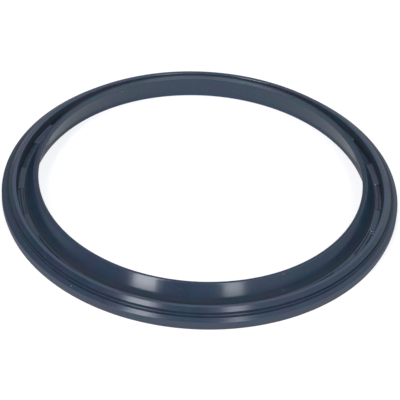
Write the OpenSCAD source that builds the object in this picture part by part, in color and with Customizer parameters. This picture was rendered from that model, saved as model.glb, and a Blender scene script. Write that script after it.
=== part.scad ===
// Wheel hub oil seal: one moulded rubber ring in its free shape, in millimetres.
// The ring lies on its flat underside. The origin is on the ring's axis in the plane of the
// underside, and +Z points up the axis, towards the tip of the lip.

/* [Flange] */
// Outside diameter, which is pressed into the hub
outer_d = 175; // [173.5:0.5:190]
// Height of the flange
flange_h = 5.4; // [4.4:0.1:6.2]
// Width of the bevel round the flange's upper edge
flange_bevel_w = 1.7; // [0.6:0.1:2.4]
// Height of that bevel
flange_bevel_h = 1; // [0.4:0.1:2]
// Width of the lead-in round the flange's lower edge
lead_w = 0.55; // [0.2:0.05:1.2]
// Height of the lead-in
lead_h = 1.8; // [0.6:0.1:2.8]
// Width of the shelf from the outside diameter to the ridge
shelf_w = 3.2; // [2.6:0.1:3.9]

/* [Ridge] */
// Height of the ridge above the underside
ridge_h = 8.5; // [7.8:0.1:10]
// Width of the bevel on the ridge's outer side
ridge_bevel_w = 1.65; // [0.8:0.05:2.3]
// Height of that bevel
ridge_bevel_h = 1.35; // [0.6:0.05:2.2]
// Width of the ridge's flat top
ridge_top_w = 1.55; // [1:0.05:2.2]
// How far the ridge's inner wall leans in towards its foot
ridge_lean = 0.8; // [0.2:0.1:1.4]

/* [Lip] */
// Diameter of the lip's contact edge while the seal is free
lip_d = 142.6; // [136:0.1:144]
// Height of the lip's tip above the underside
lip_h = 13.2; // [11:0.1:14.5]
// Angle between the lip's outer face and the underside, in degrees
lip_angle = 64.5; // [61:0.5:76]
// Height of the contact edge's straight land
contact_w = 0.5; // [0.3:0.05:1]
// Width and height of the trimmed face between the contact edge and the tip
trim = 1; // [0.4:0.05:1.5]
// Width of the tip's top before its outer edge is rounded
tip_w = 1.05; // [0.6:0.05:1.6]
// Radius of the tip's outer edge
tip_round = 1.4; // [0.5:0.1:1.6]

/* [Mouth] */
// How much wider the mouth's straight wall is than the contact edge, to one side
flare = 3.1; // [1.5:0.1:4.2]
// Height of the mouth's straight wall, bevel included
mouth_h = 2.6; // [1.6:0.1:4]
// Width and height of the bevel round the mouth
mouth_bevel = 0.5; // [0.2:0.05:1]

/* [Groove and pockets] */
// Height of the groove's floor above the underside
groove_h = 4.6; // [3.4:0.1:6.4]
// Number of moulded pockets round the groove
pocket_n = 15; // [6:1:20]
// Angle that one pocket spans, in degrees
pocket_span = 12.8; // [5:0.2:16]
// Depth of a pocket's channel below the groove's floor
pocket_depth = 1.2; // [1:0.1:2.2]
// Width of the channel's flat bottom
channel_w = 1.15; // [0.6:0.05:1.5]
// Depth of the shelf between the channel and the lip
pocket_shelf_depth = 0.7; // [0.4:0.05:0.9]
// Width of the floor strip left between the lip's foot and a pocket
pocket_margin = 0.45; // [0.2:0.05:0.7]
// How far a pocket's walls lean out of the upright
pocket_draft = 0.15; // [0.05:0.05:0.25]

/* [Edges] */
// Radius of the ridge's outer edges
edge_round = 0.3; // [0.1:0.05:0.5]
// Radius of the ridge's inner edge
ridge_round = 0.6; // [0.1:0.05:0.8]
// Radius where the ridge rises from the flange's shelf
shelf_fillet = 0.45; // [0.1:0.05:0.6]
// Radius along both sides of the groove's floor
groove_fillet = 0.8; // [0.2:0.05:1]
// Radius of the corners inside a pocket
pocket_round = 0.15; // [0.05:0.05:0.3]

/* [Hidden] */
$fn = 240;
// Steps in one rounded corner of the section
arc_steps = 6;
// Rounding of the bevels' edges on the flange
bevel_round = 0.2;
// Rounding where the lip's inner face meets the mouth's straight wall
throat_round = 1.5;
// How far a pocket runs up the ridge's inner wall, and how deep it bites into that wall
pocket_rise = 1;
pocket_bite = 0.15;

// Radii of the section's corners, from the outside in
outer_r = outer_d / 2;
ridge_outer_r = outer_r - shelf_w;
ridge_edge_r = ridge_outer_r - ridge_bevel_w;
ridge_inner_r = ridge_edge_r - ridge_top_w;
ridge_foot_r = ridge_inner_r - ridge_lean;
lip_r = lip_d / 2;
tip_r = lip_r + trim;
lip_foot_r = tip_r + tip_w + (lip_h - groove_h) / tan(lip_angle);
wall_r = lip_r + flare;

// Each corner of the section is [radius from the axis, height, rounding], counter-clockwise
// from the mouth. Edges that a fit depends on stay sharp.
SECTION = [
    [wall_r + mouth_bevel, 0, 0],
    [outer_r - lead_w, 0, bevel_round],
    [outer_r, lead_h, 0],
    [outer_r, flange_h - flange_bevel_h, 0],
    [outer_r - flange_bevel_w, flange_h, bevel_round],
    [ridge_outer_r, flange_h, shelf_fillet],
    [ridge_outer_r, ridge_h - ridge_bevel_h, edge_round],
    [ridge_edge_r, ridge_h, edge_round],
    [ridge_inner_r, ridge_h, ridge_round],
    [ridge_foot_r, groove_h, groove_fillet],
    [lip_foot_r, groove_h, groove_fillet],
    [tip_r + tip_w, lip_h, tip_round],
    [tip_r, lip_h, 0],
    [lip_r, lip_h - trim, 0],
    [lip_r, lip_h - trim - contact_w, 0],
    [wall_r, mouth_h, throat_round],
    [wall_r, mouth_bevel, 0]
];

// A pocket's section: a shelf beside the lip, then a deeper channel against the ridge
pocket_inner_r = lip_foot_r + pocket_margin;
pocket_top = groove_h + pocket_rise;
pocket_outer_r = ridge_foot_r + ridge_lean * pocket_rise / (ridge_h - groove_h) + pocket_bite;
channel_outer_r = ridge_foot_r + pocket_bite;
channel_inner_r = channel_outer_r - channel_w;
shelf_top = groove_h - pocket_shelf_depth;
channel_bottom = groove_h - pocket_depth;
POCKET = [
    [pocket_inner_r, pocket_top, 0],
    [pocket_inner_r, groove_h, 0],
    [pocket_inner_r + pocket_draft, shelf_top, pocket_round],
    [channel_inner_r - pocket_draft, shelf_top, pocket_round],
    [channel_inner_r, channel_bottom, pocket_round],
    [channel_outer_r, channel_bottom, pocket_round],
    [pocket_outer_r, pocket_top, 0]
];

// Length of the edge between two corners that the rounding at the first may use
function room(a, b) = norm([b[0] - a[0], b[1] - a[1]]) * (b[2] > 0 ? 0.5 : 0.98);

// Unit vector from corner a to corner b
function heading(a, b) = [b[0] - a[0], b[1] - a[1]] / norm([b[0] - a[0], b[1] - a[1]]);

// Points of one corner: the corner itself, or an arc that touches both of its edges
function corner(before, at, after) =
    let (
        to_before = heading(at, before),
        to_after = heading(at, after),
        half = acos(to_before * to_after) / 2,
        reach = min(at[2] / tan(half), room(at, before), room(at, after)),
        radius = reach * tan(half),
        middle = (to_before + to_after) / norm(to_before + to_after),
        centre = [at[0], at[1]] + middle * radius / sin(half),
        first = [at[0], at[1]] + to_before * reach - centre,
        last = [at[0], at[1]] + to_after * reach - centre,
        from = atan2(first[1], first[0]),
        raw = atan2(last[1], last[0]) - from,
        sweep = raw > 180 ? raw - 360 : raw < -180 ? raw + 360 : raw
    )
    at[2] == 0 ? [[at[0], at[1]]] : [
        for (i = [0:arc_steps])
            let (a = from + sweep * i / arc_steps)
            centre + radius * [cos(a), sin(a)]
    ];

// All points of a closed outline whose corners may be rounded
function rounded(corners) = [
    for (i = [0:len(corners) - 1])
        each corner(
            corners[(i + len(corners) - 1) % len(corners)],
            corners[i],
            corners[(i + 1) % len(corners)]
        )
];

// The space that one pocket takes out of the ring, centred on +X
module pocket() {
    rotate([0, 0, -pocket_span / 2])
        rotate_extrude(angle = pocket_span)
            polygon(rounded(POCKET));
}

// The moulded ring with its pockets
module seal_ring() {
    color([0.20, 0.23, 0.30])
        difference() {
            rotate_extrude()
                polygon(rounded(SECTION));
            for (i = [0:pocket_n - 1])
                rotate([0, 0, i * 360 / pocket_n])
                    pocket();
        }
}

seal_ring();
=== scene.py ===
import math
import bpy
from mathutils import Matrix, Vector


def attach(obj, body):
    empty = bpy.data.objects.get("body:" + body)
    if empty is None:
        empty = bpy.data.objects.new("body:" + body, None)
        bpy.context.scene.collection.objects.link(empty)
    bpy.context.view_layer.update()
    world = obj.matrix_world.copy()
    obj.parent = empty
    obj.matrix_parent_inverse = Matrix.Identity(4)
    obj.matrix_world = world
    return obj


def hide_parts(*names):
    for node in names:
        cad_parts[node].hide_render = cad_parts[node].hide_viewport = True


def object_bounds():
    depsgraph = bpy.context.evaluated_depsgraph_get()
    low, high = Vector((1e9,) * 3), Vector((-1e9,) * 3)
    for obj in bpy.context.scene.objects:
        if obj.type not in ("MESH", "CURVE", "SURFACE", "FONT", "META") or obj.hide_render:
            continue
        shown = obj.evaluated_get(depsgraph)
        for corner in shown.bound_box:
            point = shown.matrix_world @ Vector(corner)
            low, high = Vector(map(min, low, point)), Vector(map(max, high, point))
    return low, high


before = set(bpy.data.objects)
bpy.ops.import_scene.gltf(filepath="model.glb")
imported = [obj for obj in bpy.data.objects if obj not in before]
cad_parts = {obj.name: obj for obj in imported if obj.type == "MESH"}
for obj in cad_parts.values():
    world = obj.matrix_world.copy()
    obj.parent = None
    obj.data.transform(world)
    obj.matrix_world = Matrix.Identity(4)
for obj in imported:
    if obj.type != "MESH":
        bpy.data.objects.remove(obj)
cadLow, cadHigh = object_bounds()
mm = 0.001
print("frame loaded:", round(cadHigh.x / mm * 2, 1), "mm across,", round(cadHigh.z / mm, 1), "mm high")


def addNode(tree, kind, place, inputs=None, **settings):
    # inputs may be values or sockets, named or numbered
    node = tree.nodes.new(kind)
    node.location = place
    for name, value in settings.items():
        setattr(node, name, value)
    for name, value in (inputs or {}).items():
        if isinstance(value, bpy.types.NodeSocket):
            tree.links.new(value, node.inputs[name])
        else:
            node.inputs[name].default_value = value
    return node


def mathNode(tree, operation, place, first, second=0.0, clamp=False):
    node = addNode(tree, "ShaderNodeMath", place, {0: first, 1: second},
                   operation=operation, use_clamp=clamp)
    return node.outputs[0]


def mapNode(tree, place, value, fromLow, fromHigh, toLow, toHigh, blend="LINEAR"):
    ends = {"Value": value, "From Min": fromLow, "From Max": fromHigh, "To Min": toLow, "To Max": toHigh}
    return addNode(tree, "ShaderNodeMapRange", place, ends, interpolation_type=blend, clamp=True).outputs[0]


def mixColour(tree, place, factor, first, second, blend="MIX"):
    # this node also holds sockets for other kinds of data, so its colour sockets are taken by number
    node = addNode(tree, "ShaderNodeMix", place, {0: factor, 6: first, 7: second},
                   data_type="RGBA", clamp_factor=True, blend_type=blend)
    return node.outputs[2]


def newGroup(name, inputs, outputs):
    group = bpy.data.node_groups.new(name, "ShaderNodeTree")
    for label, kind, value in inputs:
        item = group.interface.new_socket(label, in_out="INPUT", socket_type=kind)
        if value is not None:
            item.default_value = value
    for label in outputs:
        group.interface.new_socket(label, in_out="OUTPUT", socket_type="NodeSocketFloat")
    given = group.nodes.new("NodeGroupInput")
    given.location = (-1100, 0)
    result = group.nodes.new("NodeGroupOutput")
    result.location = (1000, 0)
    return group, given.outputs, result.inputs


# The ring's section

ringSizes = {  # millimetres; the two overall sizes come from the frame
    "outerRadius": cadHigh.x / mm,
    "lipHeight": cadHigh.z / mm,
    "flangeHeight": 5.4,
    "flangeBevel": (1.7, 1.0),  # width, height
    "leadIn": (0.55, 1.8),
    "shelfWidth": 3.2,
    "ridgeHeight": 8.5,
    "ridgeBevel": (1.65, 1.35),
    "ridgeTop": 1.55,
    "ridgeLean": 0.8,
    "lipRadius": 71.3,
    "lipSlope": 64.5,  # degrees from the underside
    "contactLand": 0.5,
    "trim": 1.0,
    "tipWidth": 1.05,
    "flare": 3.1,
    "mouthHeight": 2.6,
    "mouthBevel": 0.5,
    "grooveHeight": 4.6,
    "brokenEdge": 0.1,  # what a mould leaves of a sharp edge
    "bevelRound": 0.2,
    "wallRound": 0.28,
    "shelfFillet": 0.45,
    "ridgeRound": (0.3, 0.6),  # outer edges, inner edge
    "grooveFillet": 0.8,
    "tipRound": 1.4,
    "throatRound": 1.5,
    "arcSteps": 6,
    "flankGap": 0.16,  # the first point beside a rounding, which keeps flat faces flat
    "longestStep": 2.2,
}

faceShares = {  # what each face gets of the rubber's looks; heights and reaches in millimetres
    "paleness": {"groove": 1.07, "pressWall": 0.66, "flangeBevel": 0.22, "ridgeBevel": 0.05,
              "lipTop": 0.22, "lipFoot": 0.05},  # how much paler each face is made: partly bloom, partly painted light set face by face
    "lipTopLightHeights": (6.5, 12.0),  # heights where the painted light on the lip's top sets in and is full
    "recessShade": {"ridgeWall": 0.8, "lipFoot": 0.9, "corner": 0.45},  # painted shade in the recesses: on the groove's walls, at the lip's foot and in the corner where the ridge rises from the flange
    "dulled": {"lipFoot": 0.6, "corner": 0.6, "flangeBevel": 0.07},  # share of the gloss that is lost
    "dulledHeights": (10.4, 7.4),  # where that sets in and is full on the lip
    "lipFootReach": 0.4,  # how far in over the lip's foot the groove's paleness goes
    "innerReach": 0.6,  # how far outside the inner face's line a point still counts as on it
}

pocketSizes = {  # millimetres and degrees
    "count": 15,
    "span": 12.8,
    "endWall": 0.35,  # how much azimuth the wall at a pocket's end takes
    "channelDepth": 1.2,
    "channelWidth": 1.15,
    "shelfDepth": 0.7,
    "margin": 0.45,
    "bite": 0.15,  # into the ridge's wall
    "draft": 0.15,
    "rise": 1.0,
    "round": 0.17,
    "rimRound": 0.12,
    "rimLift": 0.03,
    "arcSteps": 4,
    "columnsPerPitch": 30,
    "middleColumns": 5,  # from a pocket's middle to its end wall
    "wallColumns": 5,  # on that wall
}


def roundedOutline(corners, steps, closed=True):
    room = 0.48  # share of an edge that the rounding at one of its ends may take
    outline = []
    count = len(corners)
    for index, (radius, height, rounding) in enumerate(corners):
        here = Vector((radius, height))
        isEnd = not closed and index in (0, count - 1)
        if isEnd or rounding == 0:
            outline.append(here)
            continue
        back = Vector(corners[index - 1][:2]) - here
        ahead = Vector(corners[(index + 1) % count][:2]) - here
        half = back.angle(ahead) / 2
        reach = min(rounding / math.tan(half), back.length * room, ahead.length * room)
        arcRadius = reach * math.tan(half)
        back.normalize()
        ahead.normalize()
        centre = here + (back + ahead).normalized() * (arcRadius / math.sin(half))
        start = here + back * reach - centre
        sweep = start.angle_signed(here + ahead * reach - centre)
        for step in range(steps + 1):
            outline.append(centre + Matrix.Rotation(-sweep * step / steps, 2) @ start)
    return outline


def withFlankPoints(outline, gap, longest):
    # each point comes back with 1 where it lies on a corner and 0 where it lies on a face
    shortest = gap * 2.5  # a shorter face has no room for more points
    filled = []
    for index, here in enumerate(outline):
        filled.append((here, 1.0))
        ahead = outline[(index + 1) % len(outline)] - here
        if ahead.length < shortest:
            continue
        along = ahead.normalized()
        inside = ahead.length - 2 * gap
        pieces = max(1, math.ceil(inside / longest))
        for step in range(pieces + 1):
            filled.append((here + along * (gap + inside * step / pieces), 0.0))
    return filled


def heightAt(outline, radius):
    # height of an outline that runs inwards; None past its ends
    for first, second in zip(outline, outline[1:]):
        if second.x <= radius <= first.x and first.x > second.x:
            return first.y + (second.y - first.y) * (first.x - radius) / (first.x - second.x)
    return None


def ringSection():
    s, p, f = ringSizes, pocketSizes, faceShares
    slack = 0.01  # lets a point on the border of a face count as on it
    edge = s["brokenEdge"]
    outer = s["outerRadius"]
    ridgeOuter = outer - s["shelfWidth"]
    ridgeEdge = ridgeOuter - s["ridgeBevel"][0]
    ridgeInner = ridgeEdge - s["ridgeTop"]
    ridgeFoot = ridgeInner - s["ridgeLean"]
    tip = s["lipRadius"] + s["trim"]
    lipRise = s["lipHeight"] - s["grooveHeight"]
    lipFoot = tip + s["tipWidth"] + lipRise / math.tan(math.radians(s["lipSlope"]))
    wall = s["lipRadius"] + s["flare"]
    trimBottom = s["lipHeight"] - s["trim"]
    corners = [  # radius, height, rounding
        (wall + s["mouthBevel"], 0, edge),
        (outer - s["leadIn"][0], 0, s["bevelRound"]),
        (outer, s["leadIn"][1], s["wallRound"]),
        (outer, s["flangeHeight"] - s["flangeBevel"][1], s["wallRound"]),
        (outer - s["flangeBevel"][0], s["flangeHeight"], s["bevelRound"]),
        (ridgeOuter, s["flangeHeight"], s["shelfFillet"]),
        (ridgeOuter, s["ridgeHeight"] - s["ridgeBevel"][1], s["ridgeRound"][0]),
        (ridgeEdge, s["ridgeHeight"], s["ridgeRound"][0]),
        (ridgeInner, s["ridgeHeight"], s["ridgeRound"][1]),
        (ridgeFoot, s["grooveHeight"], s["grooveFillet"]),
        (lipFoot, s["grooveHeight"], s["grooveFillet"]),
        (tip + s["tipWidth"], s["lipHeight"], s["tipRound"]),
        (tip, s["lipHeight"], edge),
        (s["lipRadius"], trimBottom, edge),
        (s["lipRadius"], trimBottom - s["contactLand"], edge),
        (wall, s["mouthHeight"], s["throatRound"]),
        (wall, s["mouthBevel"], edge),
    ]
    outline = withFlankPoints(roundedOutline(corners, s["arcSteps"]), s["flankGap"], s["longestStep"])

    # a pocket only lowers the groove, so its own outline is read as a height for each radius
    ridgeSlope = s["ridgeLean"] / (s["ridgeHeight"] - s["grooveHeight"])
    channelOuter = ridgeFoot + p["bite"]
    channelInner = channelOuter - p["channelWidth"]
    shelfHeight = s["grooveHeight"] - p["shelfDepth"]
    channelHeight = s["grooveHeight"] - p["channelDepth"]
    rim = lipFoot + p["margin"]
    pocketCorners = [
        (ridgeInner, s["ridgeHeight"], 0),
        (ridgeFoot + ridgeSlope * p["rise"], s["grooveHeight"] + p["rise"], p["rimRound"]),
        (channelOuter, channelHeight, p["round"]),
        (channelInner, channelHeight, p["round"]),
        (channelInner - p["draft"], shelfHeight, p["round"]),
        (rim + p["draft"], shelfHeight, p["round"]),
        (rim, s["grooveHeight"] + p["rimLift"], p["rimRound"]),
        (lipFoot, s["grooveHeight"] + s["grooveFillet"] / 2, 0),
    ]
    pocketLine = roundedOutline(pocketCorners, p["arcSteps"], closed=False)
    marks = sorted((point.x for point in pocketLine[1:-1]), reverse=True)

    def inGroove(point):
        isAbove = point.y > s["grooveHeight"] / 2  # not on the underside
        return isAbove and lipFoot - s["grooveFillet"] < point.x <= ridgeInner

    def lowPart(point):
        # 1 at the groove's floor, 0 level with the ridge's top
        return 1 - (point.y - s["grooveHeight"]) / (s["ridgeHeight"] - s["grooveHeight"])

    def partWay(value, start, end):
        # 0 at the start, 1 at the end
        return min(1.0, max(0.0, (value - start) / (end - start)))

    def onInnerFace(point):
        below = partWay(point.y, trimBottom - s["contactLand"], s["mouthHeight"])
        faceRadius = s["lipRadius"] + s["flare"] * below
        return point.y < trimBottom and point.x < faceRadius + f["innerReach"]

    def onFlangeBevel(point):
        return point.x > outer - s["flangeBevel"][0] and point.y > s["leadIn"][1]

    def inCorner(point):
        # where the ridge rises from the flange
        reach = s["shelfFillet"]
        return abs(point.x - ridgeOuter) < reach and abs(point.y - s["flangeHeight"]) < reach

    # painted shade: how much each recess is darkened, as the shade that falls there
    def recessShadeAt(point):
        if inCorner(point):
            return f["recessShade"]["corner"]
        if onInnerFace(point) or point.x > ridgeInner:
            return 0.0
        if point.x > ridgeFoot - slack:
            return f["recessShade"]["ridgeWall"] if point.y < s["ridgeHeight"] - s["ridgeRound"][1] else 0.0
        if point.x > lipFoot - slack:
            return 0.0
        return f["recessShade"]["lipFoot"] * max(0.0, lowPart(point))

    def dulledAt(point):
        if inCorner(point):
            return f["dulled"]["corner"]
        if onFlangeBevel(point):
            return f["dulled"]["flangeBevel"]
        if onInnerFace(point) or point.x > lipFoot - slack:
            return 0.0
        return f["dulled"]["lipFoot"] * partWay(point.y, *f["dulledHeights"])

    def palenessAt(point):
        # the groove and the ridge's top are made paler than the other faces, partly bloom and partly
        # painted light; the lip's top is painted lighter towards its top
        shares = f["paleness"]
        if point.x > outer - slack:
            return shares["pressWall"]
        if onFlangeBevel(point):
            return shares["flangeBevel"]
        if onInnerFace(point) or point.x >= ridgeOuter - slack:
            return 0.0
        if point.x >= ridgeEdge:
            return shares["ridgeBevel"]
        if point.x > lipFoot - f["lipFootReach"]:
            return shares["groove"]
        top = partWay(point.y, *f["lipTopLightHeights"])
        return shares["lipTop"] * top + shares["lipFoot"] * max(0.0, lowPart(point))

    def isHandled(point):
        return point.x < lipFoot - f["lipFootReach"] and not onInnerFace(point)

    def isTrimmed(point):
        return point.y > trimBottom - slack and s["lipRadius"] - slack < point.x < tip + slack

    points = []
    for index, (here, onCorner) in enumerate(outline):
        ahead = outline[(index + 1) % len(outline)][0]
        stops = [(here, onCorner)]
        if inGroove(here) and inGroove(ahead):  # the pocket's own corners need points too
            between = [mark for mark in marks if ahead.x + slack < mark < here.x - slack]
            stops += [(Vector((mark, heightAt([here, ahead], mark))), 0.0) for mark in between]
        for point, edgeShare in stops:
            floor = heightAt(pocketLine, point.x) if inGroove(point) else None
            drop = max(0.0, point.y - floor) if floor is not None else 0.0
            points.append({"radius": point.x, "height": point.y, "drop": drop, "edge": edgeShare,
                           "trim": float(isTrimmed(point)), "inner": float(onInnerFace(point)),
                           "paleness": palenessAt(point), "recessShade": recessShadeAt(point), "dulled": dulledAt(point),
                           "handled": float(isHandled(point))})
    deepest = max(point["drop"] for point in points)
    print("section:", len(points), "points, pockets", round(deepest, 2), "mm deep")
    return points


sectionPoints = ringSection()


# The ring: its section swept round the axis, with the pockets let into the groove

def sweepTree():
    tree = bpy.data.node_groups.new("ring with pockets", "GeometryNodeTree")
    tree.interface.new_socket("Section", in_out="INPUT", socket_type="NodeSocketGeometry")
    sizes = [
        ("Pocket Count", "NodeSocketInt"),
        ("Columns per Pitch", "NodeSocketInt"),
        ("Pocket Span", "NodeSocketFloat"),
        ("End Wall", "NodeSocketFloat"),
        ("Middle Share", "NodeSocketFloat"),
        ("Wall Share", "NodeSocketFloat"),
        ("Moulded", "NodeSocketMaterial"),
        ("Trimmed", "NodeSocketMaterial"),
        ("Inner Face", "NodeSocketMaterial"),
    ]
    for label, kind in sizes:
        tree.interface.new_socket(label, in_out="INPUT", socket_type=kind)
    tree.interface.new_socket("Ring", in_out="OUTPUT", socket_type="NodeSocketGeometry")
    given = tree.nodes.new("NodeGroupInput").outputs

    def named(label, place):
        node = addNode(tree, "GeometryNodeInputNamedAttribute", place, {"Name": label}, data_type="FLOAT")
        return node.outputs["Attribute"]

    columns = mathNode(tree, "MULTIPLY", (-900, 300), given["Pocket Count"], given["Columns per Pitch"])
    circle = addNode(tree, "GeometryNodeCurvePrimitiveCircle", (-700, 300), {"Resolution": columns},
                     mode="RADIUS")
    factor = addNode(tree, "GeometryNodeSplineParameter", (-700, 100)).outputs["Factor"]
    marked = addNode(tree, "GeometryNodeStoreNamedAttribute", (-500, 300),
                     {"Geometry": circle.outputs["Curve"], "Name": "turn", "Value": factor},
                     data_type="FLOAT", domain="POINT")
    profile = addNode(tree, "GeometryNodeMeshToCurve", (-500, 500), {"Mesh": given["Section"]})
    sweep = addNode(tree, "GeometryNodeCurveToMesh", (-300, 400),
                    {"Curve": marked.outputs["Geometry"], "Profile Curve": profile.outputs["Curve"]})

    # azimuth of each column: the narrow wall at a pocket's end gets its own share of the columns
    pitches = mathNode(tree, "MULTIPLY", (-900, -100), named("turn", (-1100, -100)), given["Pocket Count"])
    nearest = mathNode(tree, "ROUND", (-700, -100), pitches)
    offset = mathNode(tree, "SUBTRACT", (-500, -100), pitches, nearest)
    away = mathNode(tree, "ABSOLUTE", (-300, -100), offset)
    side = mathNode(tree, "SIGN", (-300, -260), offset)
    pitch = mathNode(tree, "DIVIDE", (-900, -300), 2 * math.pi, given["Pocket Count"])
    halfSpan = mathNode(tree, "MULTIPLY", (-900, -460), given["Pocket Span"], 0.5)
    halfWall = mathNode(tree, "MULTIPLY", (-900, -620), given["End Wall"], 0.5)
    wallStart = mathNode(tree, "SUBTRACT", (-700, -460), halfSpan, halfWall)
    wallEnd = mathNode(tree, "ADD", (-700, -620), halfSpan, halfWall)
    halfPitch = mathNode(tree, "MULTIPLY", (-700, -300), pitch, 0.5)
    landWidth = mathNode(tree, "SUBTRACT", (-500, -460), halfPitch, wallEnd)
    middle, wall = given["Middle Share"], given["Wall Share"]
    alongPocket = mapNode(tree, (-100, -100), away, 0.0, middle, 0.0, wallStart)
    alongWall = mapNode(tree, (-100, -360), away, middle, wall, 0.0, given["End Wall"])
    alongLand = mapNode(tree, (-100, -620), away, wall, 0.5, 0.0, landWidth)
    nearPart = mathNode(tree, "ADD", (100, -300), alongPocket, alongWall)
    fromMiddle = mathNode(tree, "ADD", (300, -300), nearPart, alongLand)
    signed = mathNode(tree, "MULTIPLY", (500, -300), fromMiddle, side)
    middleAt = mathNode(tree, "MULTIPLY", (500, -460), nearest, pitch)
    azimuth = mathNode(tree, "ADD", (700, -300), signed, middleAt)

    # the wall at a pocket's end eases from the pocket's depth to none
    dip = mapNode(tree, (300, -620), away, middle, wall, 1.0, 0.0, blend="SMOOTHSTEP")
    lowered = mathNode(tree, "MULTIPLY", (500, -620), dip, named("pocketDrop", (300, -880)))
    height = mathNode(tree, "SUBTRACT", (700, -620), named("sectionHeight", (500, -880)), lowered)
    radius = named("sectionRadius", (700, 60))
    across = mathNode(tree, "MULTIPLY", (1100, -60), radius, mathNode(tree, "COSINE", (900, -60), azimuth))
    along = mathNode(tree, "MULTIPLY", (1100, -220), radius, mathNode(tree, "SINE", (900, -220), azimuth))
    place = addNode(tree, "ShaderNodeCombineXYZ", (1300, -200), {"X": across, "Y": along, "Z": height})
    placed = addNode(tree, "GeometryNodeSetPosition", (1500, 300),
                     {"Geometry": sweep.outputs["Mesh"], "Position": place.outputs["Vector"]})
    outwards = addNode(tree, "GeometryNodeFlipFaces", (1700, 300), {"Mesh": placed.outputs["Geometry"]})
    smooth = addNode(tree, "GeometryNodeSetShadeSmooth", (1900, 300),
                     {"Geometry": outwards.outputs["Mesh"]})
    real = addNode(tree, "GeometryNodeRealizeInstances", (2100, 300),
                   {"Geometry": smooth.outputs["Geometry"]})
    moulded = addNode(tree, "GeometryNodeSetMaterial", (2300, 300),
                      {"Geometry": real.outputs["Geometry"], "Material": given["Moulded"]})
    finished = moulded.outputs["Geometry"]
    allCorners = 0.99  # a face is chosen when each of its corners is marked
    for left, label, finish in ((2500, "trimFace", "Trimmed"), (2900, "innerFace", "Inner Face")):
        marks = named(label, (left - 200, 60))
        chosen = addNode(tree, "FunctionNodeCompare", (left, 60), {"A": marks, "B": allCorners},
                         data_type="FLOAT", operation="GREATER_THAN")
        finished = addNode(tree, "GeometryNodeSetMaterial", (left + 200, 300),
                           {"Geometry": finished, "Selection": chosen.outputs["Result"],
                            "Material": given[finish]}).outputs["Geometry"]
    addNode(tree, "NodeGroupOutput", (3300, 300), {"Ring": finished})
    return tree


def makeRing(mouldedRubber, trimmedRubber, innerRubber):
    count = len(sectionPoints)
    mesh = bpy.data.meshes.new("sealSection")
    mesh.from_pydata([(point["radius"] * mm, 0, point["height"] * mm) for point in sectionPoints],
                     [(index, (index + 1) % count) for index in range(count)], [])
    attributes = {  # name on the mesh: name in the section's points, unit
        "sectionRadius": ("radius", mm),
        "sectionHeight": ("height", mm),
        "pocketDrop": ("drop", mm),
        "edgeShare": ("edge", 1.0),
        "trimFace": ("trim", 1.0),
        "innerFace": ("inner", 1.0),
        "palenessShare": ("paleness", 1.0),
        "recessShadeShare": ("recessShade", 1.0),
        "dulledShare": ("dulled", 1.0),
        "handledShare": ("handled", 1.0),
    }
    for label, (key, unit) in attributes.items():
        values = mesh.attributes.new(label, "FLOAT", "POINT")
        values.data.foreach_set("value", [point[key] * unit for point in sectionPoints])
    ring = bpy.data.objects.new("sealRing", mesh)
    bpy.context.scene.collection.objects.link(ring)

    tree = sweepTree()
    sweep = ring.modifiers.new("sweep", "NODES")
    sweep.node_group = tree
    sockets = {item.name: item.identifier for item in tree.interface.items_tree if item.in_out == "INPUT"}
    p = pocketSizes
    sweep[sockets["Pocket Count"]] = p["count"]
    sweep[sockets["Columns per Pitch"]] = p["columnsPerPitch"]
    sweep[sockets["Pocket Span"]] = math.radians(p["span"])
    sweep[sockets["End Wall"]] = math.radians(p["endWall"])
    sweep[sockets["Middle Share"]] = p["middleColumns"] / p["columnsPerPitch"]
    sweep[sockets["Wall Share"]] = (p["middleColumns"] + p["wallColumns"]) / p["columnsPerPitch"]
    sweep[sockets["Moulded"]] = mouldedRubber
    sweep[sockets["Trimmed"]] = trimmedRubber
    sweep[sockets["Inner Face"]] = innerRubber
    depsgraph = bpy.context.evaluated_depsgraph_get()
    plain = bpy.data.meshes.new_from_object(ring.evaluated_get(depsgraph), preserve_all_data_layers=True,
                                            depsgraph=depsgraph)
    ring.modifiers.clear()
    ring.data = plain
    plain.name = "sealRing"
    return ring


# Rubber: groups that all three finishes share

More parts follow.
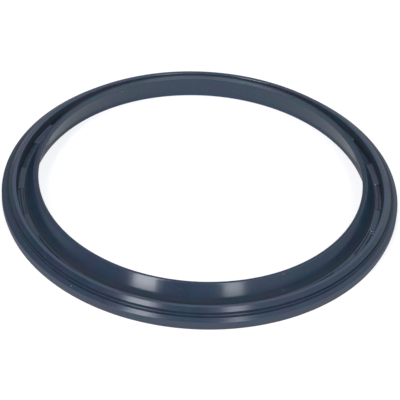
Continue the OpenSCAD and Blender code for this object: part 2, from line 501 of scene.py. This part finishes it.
def mouldLinesGroup():
    # fine lines that the turned mould leaves round the ring, and draw marks across them
    group, given, result = newGroup(
        "mould lines",
        [("Vector", "NodeSocketVector", None), ("Line Scale", "NodeSocketFloat", 2600.0),
         ("Draw Scale", "NodeSocketFloat", 150.0), ("Draw Change", "NodeSocketFloat", 60.0),
         ("Height Share", "NodeSocketFloat", 0.6)],
        ["Lines", "Draw"])
    axes = addNode(group, "ShaderNodeSeparateXYZ", (-900, 0), {"Vector": given["Vector"]}).outputs
    flat = addNode(group, "ShaderNodeCombineXYZ", (-900, -200), {"X": axes["X"], "Y": axes["Y"]})
    length = addNode(group, "ShaderNodeVectorMath", (-700, -200), {0: flat.outputs["Vector"]},
                     operation="LENGTH")
    azimuth = mathNode(group, "ARCTAN2", (-700, 0), axes["Y"], axes["X"])
    cosine = mathNode(group, "COSINE", (-500, 100), azimuth)
    sine = mathNode(group, "SINE", (-500, 0), azimuth)
    slant = mathNode(group, "MULTIPLY", (-700, -400), axes["Z"], given["Height Share"])
    profile = mathNode(group, "ADD", (-500, -200), length.outputs["Value"], slant)
    across = mathNode(group, "MULTIPLY", (-300, -200), profile, given["Line Scale"])
    lineAt = addNode(group, "ShaderNodeCombineXYZ", (-100, 0), {"X": cosine, "Y": sine, "Z": across})
    lines = addNode(group, "ShaderNodeTexNoise", (100, 0),
                    {"Vector": lineAt.outputs["Vector"], "Scale": 1.6, "Detail": 2.0, "Roughness": 0.6})
    group.links.new(lines.outputs["Fac"], result["Lines"])
    drawX = mathNode(group, "MULTIPLY", (-300, 300), cosine, given["Draw Scale"])
    drawY = mathNode(group, "MULTIPLY", (-300, 460), sine, given["Draw Scale"])
    slow = mathNode(group, "MULTIPLY", (-300, -400), profile, given["Draw Change"])
    drawAt = addNode(group, "ShaderNodeCombineXYZ", (-100, 300), {"X": drawX, "Y": drawY, "Z": slow})
    draw = addNode(group, "ShaderNodeTexNoise", (100, 300),
                   {"Vector": drawAt.outputs["Vector"], "Scale": 0.5, "Detail": 1.0, "Roughness": 0.5})
    group.links.new(draw.outputs["Fac"], result["Draw"])
    return group


def bloomGroup():
    # cloudy and tinted patches where the rubber has bloomed or been handled, and its fine grain
    group, given, result = newGroup(
        "bloom and grain",
        [("Vector", "NodeSocketVector", None), ("Cloud Scale", "NodeSocketFloat", 85.0),
         ("Blotches per Cloud", "NodeSocketFloat", 5.5), ("Grain Scale", "NodeSocketFloat", 2400.0)],
        ["Cloud", "Blotch", "Grain", "Tint"])
    vector = given["Vector"]

    def spread(noise, reach, place):
        # a noise keeps near 0.5, so the part within reach of that is stretched to run from 0 to 1
        return mapNode(group, place, noise.outputs["Fac"], 0.5 - reach, 0.5 + reach, 0.0, 1.0)

    cloud = addNode(group, "ShaderNodeTexNoise", (0, 200),
                    {"Vector": vector, "Scale": given["Cloud Scale"], "Detail": 5.0, "Roughness": 0.55,
                     "Distortion": 0.6})
    group.links.new(spread(cloud, 0.18, (200, 200)), result["Cloud"])
    smaller = given["Blotches per Cloud"]
    blotchScale = mathNode(group, "MULTIPLY", (-200, -60), given["Cloud Scale"], smaller)
    blotch = addNode(group, "ShaderNodeTexNoise", (0, -60),
                     {"Vector": vector, "Scale": blotchScale, "Detail": 4.0, "Roughness": 0.6,
                      "Distortion": 1.1})
    group.links.new(spread(blotch, 0.16, (200, -60)), result["Blotch"])
    grain = addNode(group, "ShaderNodeTexNoise", (0, -320),
                    {"Vector": vector, "Scale": given["Grain Scale"], "Detail": 3.0, "Roughness": 0.7})
    group.links.new(grain.outputs["Fac"], result["Grain"])
    away = (0.31, 0.17, 0.05)  # metres, so that the tinted patches aren't the cloudy ones
    aside = addNode(group, "ShaderNodeVectorMath", (-200, -560), {0: vector, 1: away}, operation="ADD")
    tint = addNode(group, "ShaderNodeTexNoise", (0, -560),
                   {"Vector": aside.outputs["Vector"], "Scale": given["Cloud Scale"], "Detail": 3.0,
                    "Roughness": 0.5})
    group.links.new(spread(tint, 0.15, (200, -560)), result["Tint"])
    return group


def dustGroup():
    # sparse pale specks; a cell of the pattern holds one only now and then
    group, given, result = newGroup(
        "dust specks",
        [("Vector", "NodeSocketVector", None), ("Scale", "NodeSocketFloat", 330.0),
         ("Share", "NodeSocketFloat", 0.3), ("Size", "NodeSocketFloat", 0.1)],
        ["Speck"])
    cells = addNode(group, "ShaderNodeTexVoronoi", (0, 0),
                    {"Vector": given["Vector"], "Scale": given["Scale"], "Randomness": 1.0})
    pick = addNode(group, "ShaderNodeSeparateColor", (200, -160), {"Color": cells.outputs["Color"]}).outputs
    chosen = mathNode(group, "LESS_THAN", (400, -160), pick["Red"], given["Share"])
    size = mathNode(group, "MULTIPLY", (400, -320), pick["Green"], given["Size"])
    half = mathNode(group, "MULTIPLY", (600, -320), size, 0.5)
    near = mapNode(group, (600, 0), cells.outputs["Distance"], half, size, 1.0, 0.0)
    group.links.new(mathNode(group, "MULTIPLY", (800, 0), near, chosen), result["Speck"])
    return group


mouldLines = mouldLinesGroup()
paleness = bloomGroup()
dust = dustGroup()

patchLooks = {
    "mottle": 0.45,  # share of the small blotches; the broad clouds take the rest
    "teal": (0.85, 1.06, 1.00, 1),  # what the rubber's colour is multiplied by, from patch to patch
    "violet": (1.16, 0.94, 1.01, 1),
}

# the dust colours are real dust; the darker colour is painted shade laid into the recesses
dustAndShadeLooks = {
    "recessShade": (0.0300, 0.0405, 0.0490, 1),
    "thinnestRecessShade": 0.7,  # what is left of it where the patches are darkest
    "dust": (0.30, 0.32, 0.34, 1),
    "specks": {"Scale": 330.0, "Share": 0.3, "Size": 0.1},
    "speckStrength": 0.4,
    "lint": {"Scale": 120.0, "Share": 0.45, "Size": 0.09},  # larger and farther apart
    "lintStrength": 0.5,
    "dustDulls": 0.4,  # how much gloss and smoothness is lost under dust
}

rubberLooks = {
    "deep": (0.0073, 0.0168, 0.0322, 1),
    "bloomed": (0.0344, 0.0503, 0.0795, 1),
    "patchShare": 0.3,  # how much of that range the patches take; the face's own paleness, partly painted light, takes the rest
    "gloss": (0.76, 0.62),  # between and on the pale patches
    "grazingGloss": 0.3,  # what is left of it where the surface turns away
    "glossFade": (0.45, 0.85, 0.3),  # where that sets in and ends, and how much sooner on the handled lip
    "glossRoughness": 0.16,
    "roughness": (0.24, 0.34),  # of the rubber under the gloss, between and on the patches
    "grainBump": 0.03,
    "lineBump": 0.03,
    "drawBump": 0.12,
    "edgeLight": 0.25,
}

innerLooks = {  # the lip's inner face
    "deep": (0.0150, 0.0315, 0.0560, 1),
    "bloomed": (0.0230, 0.0445, 0.0730, 1),
    "patchShare": 1.0,
    "gloss": (0.58, 0.46),
    "grazingGloss": 0.85,
    "glossFade": (0.3, 0.9, 0.0),
    "glossRoughness": 0.14,
    "roughness": (0.30, 0.42),
    "grainBump": 0.04,
    "lineBump": 0.04,
    "drawBump": 0.05,
    "edgeLight": 0.15,
}

trimLooks = {  # the face that was cut after moulding
    "deep": (0.0265, 0.0375, 0.0510, 1),
    "bloomed": (0.0375, 0.0510, 0.0680, 1),
    "patchShare": 1.0,
    "gloss": (0.34, 0.22),
    "grazingGloss": 0.6,
    "glossFade": (0.15, 0.85, 0.0),
    "glossRoughness": 0.35,
    "roughness": (0.45, 0.60),
    "grainBump": 0.14,
    "lineBump": 0.16,
    "drawBump": 0.13,
    "edgeLight": 0.15,
}


def rubberMaterial(name, looks):
    material = bpy.data.materials.new(name)
    material.use_nodes = True
    tree = material.node_tree
    tree.nodes.clear()
    at = addNode(tree, "ShaderNodeTexCoord", (-1400, 0)).outputs["Object"]
    patches = addNode(tree, "ShaderNodeGroup", (-1100, 300), node_tree=paleness)
    lines = addNode(tree, "ShaderNodeGroup", (-1100, 0), node_tree=mouldLines)
    specks = addNode(tree, "ShaderNodeGroup", (-1100, -300), dustAndShadeLooks["specks"], node_tree=dust)
    lint = addNode(tree, "ShaderNodeGroup", (-1100, -560), dustAndShadeLooks["lint"], node_tree=dust)
    for node in (patches, lines, specks, lint):
        tree.links.new(at, node.inputs["Vector"])

    def shareOf(label, place):
        return addNode(tree, "ShaderNodeAttribute", place, attribute_name=label).outputs["Fac"]

    # colour
    mottle = mathNode(tree, "MULTIPLY", (-800, 460), patches.outputs["Blotch"], patchLooks["mottle"])
    cloudy = mathNode(tree, "MULTIPLY", (-800, 300), patches.outputs["Cloud"], 1 - patchLooks["mottle"])
    pale = mathNode(tree, "ADD", (-600, 380), mottle, cloudy, clamp=True)
    # the roundings are made paler: partly wear, partly a painted highlight along them
    edgeWearAndSheen = mathNode(tree, "MULTIPLY", (-800, 620), shareOf("edgeShare", (-1100, 560)), looks["edgeLight"])
    paleWithEdges = mathNode(tree, "ADD", (-600, 560), pale, edgeWearAndSheen)
    patchy = mathNode(tree, "MULTIPLY", (-400, 460), paleWithEdges, looks["patchShare"])
    # each face's own paleness: partly bloom, partly painted light
    facePaleness = shareOf("palenessShare", (-1100, 780))
    face = mathNode(tree, "MULTIPLY", (-800, 780), facePaleness, 1 - looks["patchShare"])
    paler = mathNode(tree, "ADD", (-300, 620), patchy, face, clamp=True)
    bare = mixColour(tree, (-100, 700), paler, looks["deep"], looks["bloomed"])
    # painted shade in the recesses, thinner where the patches are dark
    thickness = mapNode(tree, (-600, 900), pale, 0.0, 1.0, dustAndShadeLooks["thinnestRecessShade"], 1.0)
    recessShading = mathNode(tree, "MULTIPLY", (-400, 900), shareOf("recessShadeShare", (-1100, 980)), thickness)
    rubber = mixColour(tree, (100, 700), recessShading, bare, dustAndShadeLooks["recessShade"])
    hue = mixColour(tree, (-400, 1100), patches.outputs["Tint"], patchLooks["teal"], patchLooks["violet"])
    tinted = mixColour(tree, (300, 700), 1.0, rubber, hue, blend="MULTIPLY")
    fine = mathNode(tree, "MULTIPLY", (-800, -300), specks.outputs["Speck"], dustAndShadeLooks["speckStrength"])
    coarse = mathNode(tree, "MULTIPLY", (-800, -560), lint.outputs["Speck"], dustAndShadeLooks["lintStrength"])
    allDust = mathNode(tree, "MAXIMUM", (-600, -400), fine, coarse)
    colour = mixColour(tree, (500, 600), allDust, tinted, dustAndShadeLooks["dust"])

    # roughness and gloss; the gloss is all in the coat
    roughBetween, roughOn = looks["roughness"]
    matt = mapNode(tree, (-200, 100), pale, 0.0, 1.0, roughBetween, roughOn)
    dulled = mathNode(tree, "MULTIPLY", (-200, -60), allDust, dustAndShadeLooks["dustDulls"])
    roughness = mathNode(tree, "ADD", (0, 60), matt, dulled, clamp=True)
    glossBetween, glossOn = looks["gloss"]
    shine = mapNode(tree, (-200, -400), pale, 0.0, 1.0, glossBetween, glossOn)
    turnedAway = addNode(tree, "ShaderNodeLayerWeight", (-800, -800), {"Blend": 0.5}).outputs["Facing"]
    handled = shareOf("handledShare", (-1100, -1160))
    fadeStart, fadeEnd, sooner = looks["glossFade"]
    fadeFrom = mapNode(tree, (-800, -960), handled, 0.0, 1.0, fadeStart, fadeStart - sooner)
    fadeTo = mapNode(tree, (-800, -1160), handled, 0.0, 1.0, fadeEnd, fadeEnd - sooner)
    grazing = mapNode(tree, (-600, -800), turnedAway, fadeFrom, fadeTo, 1.0, looks["grazingGloss"])
    faded = mathNode(tree, "MULTIPLY", (-200, -600), shine, grazing)
    unsmeared = mathNode(tree, "SUBTRACT", (-400, -640), 1.0, shareOf("dulledShare", (-1100, -980)))
    kept = mathNode(tree, "MULTIPLY", (0, -600), faded, unsmeared)
    gloss = mathNode(tree, "SUBTRACT", (200, -400), kept, dulled, clamp=True)

    # relief
    grain = mathNode(tree, "MULTIPLY", (-600, 0), patches.outputs["Grain"], looks["grainBump"])
    turned = mathNode(tree, "MULTIPLY", (-600, -150), lines.outputs["Lines"], looks["lineBump"])
    drawn = mathNode(tree, "MULTIPLY", (-800, -150), lines.outputs["Draw"], looks["drawBump"])
    marks = mathNode(tree, "ADD", (-400, -180), turned, drawn)
    relief = mathNode(tree, "ADD", (-400, -60), grain, marks)
    bump = addNode(tree, "ShaderNodeBump", (0, -200),
                   {"Strength": 1.0, "Distance": 0.1 * mm, "Height": relief})

    shader = addNode(tree, "ShaderNodeBsdfPrincipled", (700, 200),
                     {"Base Color": colour, "Roughness": roughness, "Normal": bump.outputs["Normal"],
                      "Specular IOR Level": 0.0, "Coat Weight": gloss,
                      "Coat Roughness": looks["glossRoughness"], "Coat IOR": 1.5})
    addNode(tree, "ShaderNodeOutputMaterial", (1000, 200), {"Surface": shader.outputs["BSDF"]})
    return material


mouldedRubber = rubberMaterial("mouldedRubber", rubberLooks)
trimmedRubber = rubberMaterial("trimmedRubber", trimLooks)
innerRubber = rubberMaterial("innerRubber", innerLooks)
print("rubber: moulded, trimmed and inner finishes ready")

ring = makeRing(mouldedRubber, trimmedRubber, innerRubber)
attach(ring, "root")
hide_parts("seal_ring")
print("ring:", len(ring.data.polygons), "faces,", len(ring.data.vertices), "vertices")


# Studio

studio = {
    "floorSize": 14.0,  # metres, as every length here
    "floorColour": (0.29, 0.295, 0.305, 1),
    "floorLift": 0.71,  # added for the camera and mirrors only, so that the bare floor is white
    "liftColour": (1.0, 1.0, 1.01, 1),
    "floorLightPool": (0.17, 0.50),  # radii between which the painted pool of light round the seal fades
    "floorFar": 0.4,  # what is left of the floor's brightness beyond it
    "skyLevel": 0.17,  # brightness round the horizon in front and on the left
    "skyTop": {"adds": 0.28, "from": 0.5, "to": 1.0},  # on Z, the height of the direction looked in
    "skyBack": {"adds": 0.37, "from": 0.0, "to": 0.8},  # on Y
    "skyRight": {"adds": 0.73, "from": -0.2, "to": 0.85},  # on X
    "skyRightColour": (0.96, 1.0, 1.05, 1),
    "stripColour": (0.98, 0.97, 1.02),
    "strips": [  # soft boxes in front, a low and a high one on the left and on the right; watts
        {"foot": (-0.602, -1.094, 0.065), "head": (-0.530, -0.968, 0.689), "width": 0.286, "power": 8.4},
        {"foot": (-0.529, -0.967, 0.689), "head": (-0.752, -0.106, 3.76), "width": 0.325, "power": 38.0},
        {"foot": (0.474, -1.155, 0.065), "head": (0.417, -1.020, 0.689), "width": 0.225, "power": 4.1},
        {"foot": (0.405, -1.026, 0.689), "head": (1.144, -0.494, 5.817), "width": 0.268, "power": 35.0},
    ],
}

camera = {
    "pitch": 39.35,  # degrees below the horizon
    "roll": 3.17,
    "distance": 0.82629,
    "aim": (0.00024, -0.00221),  # to the right and up in the view
    "focal": 1858.61,  # in pixels of the photograph
    "frameWidth": 400,
    "sensorWidth": 36.0,  # millimetres
    "clip": (0.01, 100),  # metres
}


def makeFloor():
    half = studio["floorSize"] / 2
    mesh = bpy.data.meshes.new("floor")
    corners = [(-half, -half, 0), (half, -half, 0), (half, half, 0), (-half, half, 0)]
    mesh.from_pydata(corners, [], [(0, 1, 2, 3)])
    floor = bpy.data.objects.new("floor", mesh)
    bpy.context.scene.collection.objects.link(floor)
    material = bpy.data.materials.new("paleFloor")
    material.use_nodes = True
    tree = material.node_tree
    tree.nodes.clear()
    path = addNode(tree, "ShaderNodeLightPath", (-600, -200)).outputs
    seen = mathNode(tree, "MAXIMUM", (-400, -200), path["Is Camera Ray"], path["Is Glossy Ray"])
    seen = mathNode(tree, "MAXIMUM", (-200, -200), seen, path["Is Transmission Ray"])
    at = addNode(tree, "ShaderNodeTexCoord", (-800, 200)).outputs["Object"]
    reach = addNode(tree, "ShaderNodeVectorMath", (-600, 200), {0: at}, operation="LENGTH").outputs["Value"]
    # a pool of light painted on the floor: bright round the seal, darker farther out, in the paper and in
    # the lift
    poolStart, poolEnd = studio["floorLightPool"]
    lightPool = mapNode(tree, (-400, 200), reach, poolStart, poolEnd, 1.0, studio["floorFar"],
                   blend="SMOOTHSTEP")
    seenLightPool = mathNode(tree, "MULTIPLY", (-200, -60), seen, lightPool)
    lift = mathNode(tree, "MULTIPLY", (0, -200), seenLightPool, studio["floorLift"])
    colour = mixColour(tree, (-200, 200), lightPool, (0, 0, 0, 1), studio["floorColour"])
    paper = addNode(tree, "ShaderNodeBsdfDiffuse", (200, 0), {"Color": colour})
    glow = addNode(tree, "ShaderNodeEmission", (200, -200),
                   {"Color": studio["liftColour"], "Strength": lift})
    both = addNode(tree, "ShaderNodeAddShader", (400, 0), {0: paper.outputs[0], 1: glow.outputs[0]})
    addNode(tree, "ShaderNodeOutputMaterial", (600, 0), {"Surface": both.outputs[0]})
    mesh.materials.append(material)


def makeSky():
    world = bpy.data.worlds.new("studio")
    bpy.context.scene.world = world
    world.use_nodes = True
    tree = world.node_tree
    tree.nodes.clear()
    towards = addNode(tree, "ShaderNodeTexCoord", (-600, 0)).outputs["Generated"]
    axes = addNode(tree, "ShaderNodeSeparateXYZ", (-400, 0), {0: towards}).outputs

    def partOf(axis, label, most, place):
        ends = studio[label]
        return mapNode(tree, place, axes[axis], ends["from"], ends["to"], 0.0, most, blend="SMOOTHSTEP")

    top = partOf("Z", "skyTop", studio["skyTop"]["adds"], (-200, 360))
    back = partOf("Y", "skyBack", studio["skyBack"]["adds"], (-200, 100))
    side = partOf("X", "skyRight", 1.0, (-200, -160))
    right = mathNode(tree, "MULTIPLY", (0, -160), side, studio["skyRight"]["adds"])
    tone = mixColour(tree, (200, -300), side, (1, 1, 1, 1), studio["skyRightColour"])
    level = mathNode(tree, "ADD", (0, 200), top, back)
    level = mathNode(tree, "ADD", (100, 0), level, right)
    level = mathNode(tree, "ADD", (200, 0), level, studio["skyLevel"])
    sky = addNode(tree, "ShaderNodeBackground", (400, 0), {"Color": tone, "Strength": level})
    addNode(tree, "ShaderNodeOutputWorld", (600, 0), {"Surface": sky.outputs[0]})


def makeStrips():
    for number, strip in enumerate(studio["strips"]):
        foot, head = Vector(strip["foot"]), Vector(strip["head"])
        middle = (foot + head) / 2
        upwards = (head - foot).normalized()
        outwards = (middle - upwards * middle.dot(upwards)).normalized()  # a lamp shines along its own -Z
        lamp = bpy.data.lights.new("strip" + str(number + 1), "AREA")
        lamp.shape = "RECTANGLE"
        lamp.size = strip["width"]
        lamp.size_y = (head - foot).length
        lamp.energy = strip["power"]
        lamp.color = studio["stripColour"]
        holder = bpy.data.objects.new(lamp.name, lamp)
        turned = Matrix((upwards.cross(outwards), upwards, outwards)).transposed().to_4x4()
        holder.matrix_world = Matrix.Translation(middle) @ turned
        holder.visible_camera = False
        bpy.context.scene.collection.objects.link(holder)


def makeCamera():
    lens = bpy.data.cameras.new("camera")
    lens.sensor_fit = "HORIZONTAL"
    lens.sensor_width = camera["sensorWidth"]
    lens.lens = camera["focal"] * lens.sensor_width / camera["frameWidth"]
    lens.clip_start, lens.clip_end = camera["clip"]
    holder = bpy.data.objects.new("camera", lens)
    tilt = Matrix.Rotation(math.radians(90 - camera["pitch"]), 4, "X")
    right, up = camera["aim"]
    roll = Matrix.Rotation(math.radians(camera["roll"]), 4, "Z")
    holder.matrix_world = tilt @ Matrix.Translation((right, up, camera["distance"])) @ roll
    bpy.context.scene.collection.objects.link(holder)
    bpy.context.scene.camera = holder


makeFloor()
makeSky()
makeStrips()
makeCamera()
bpy.context.scene.view_settings.view_transform = "Standard"
print("studio ready")
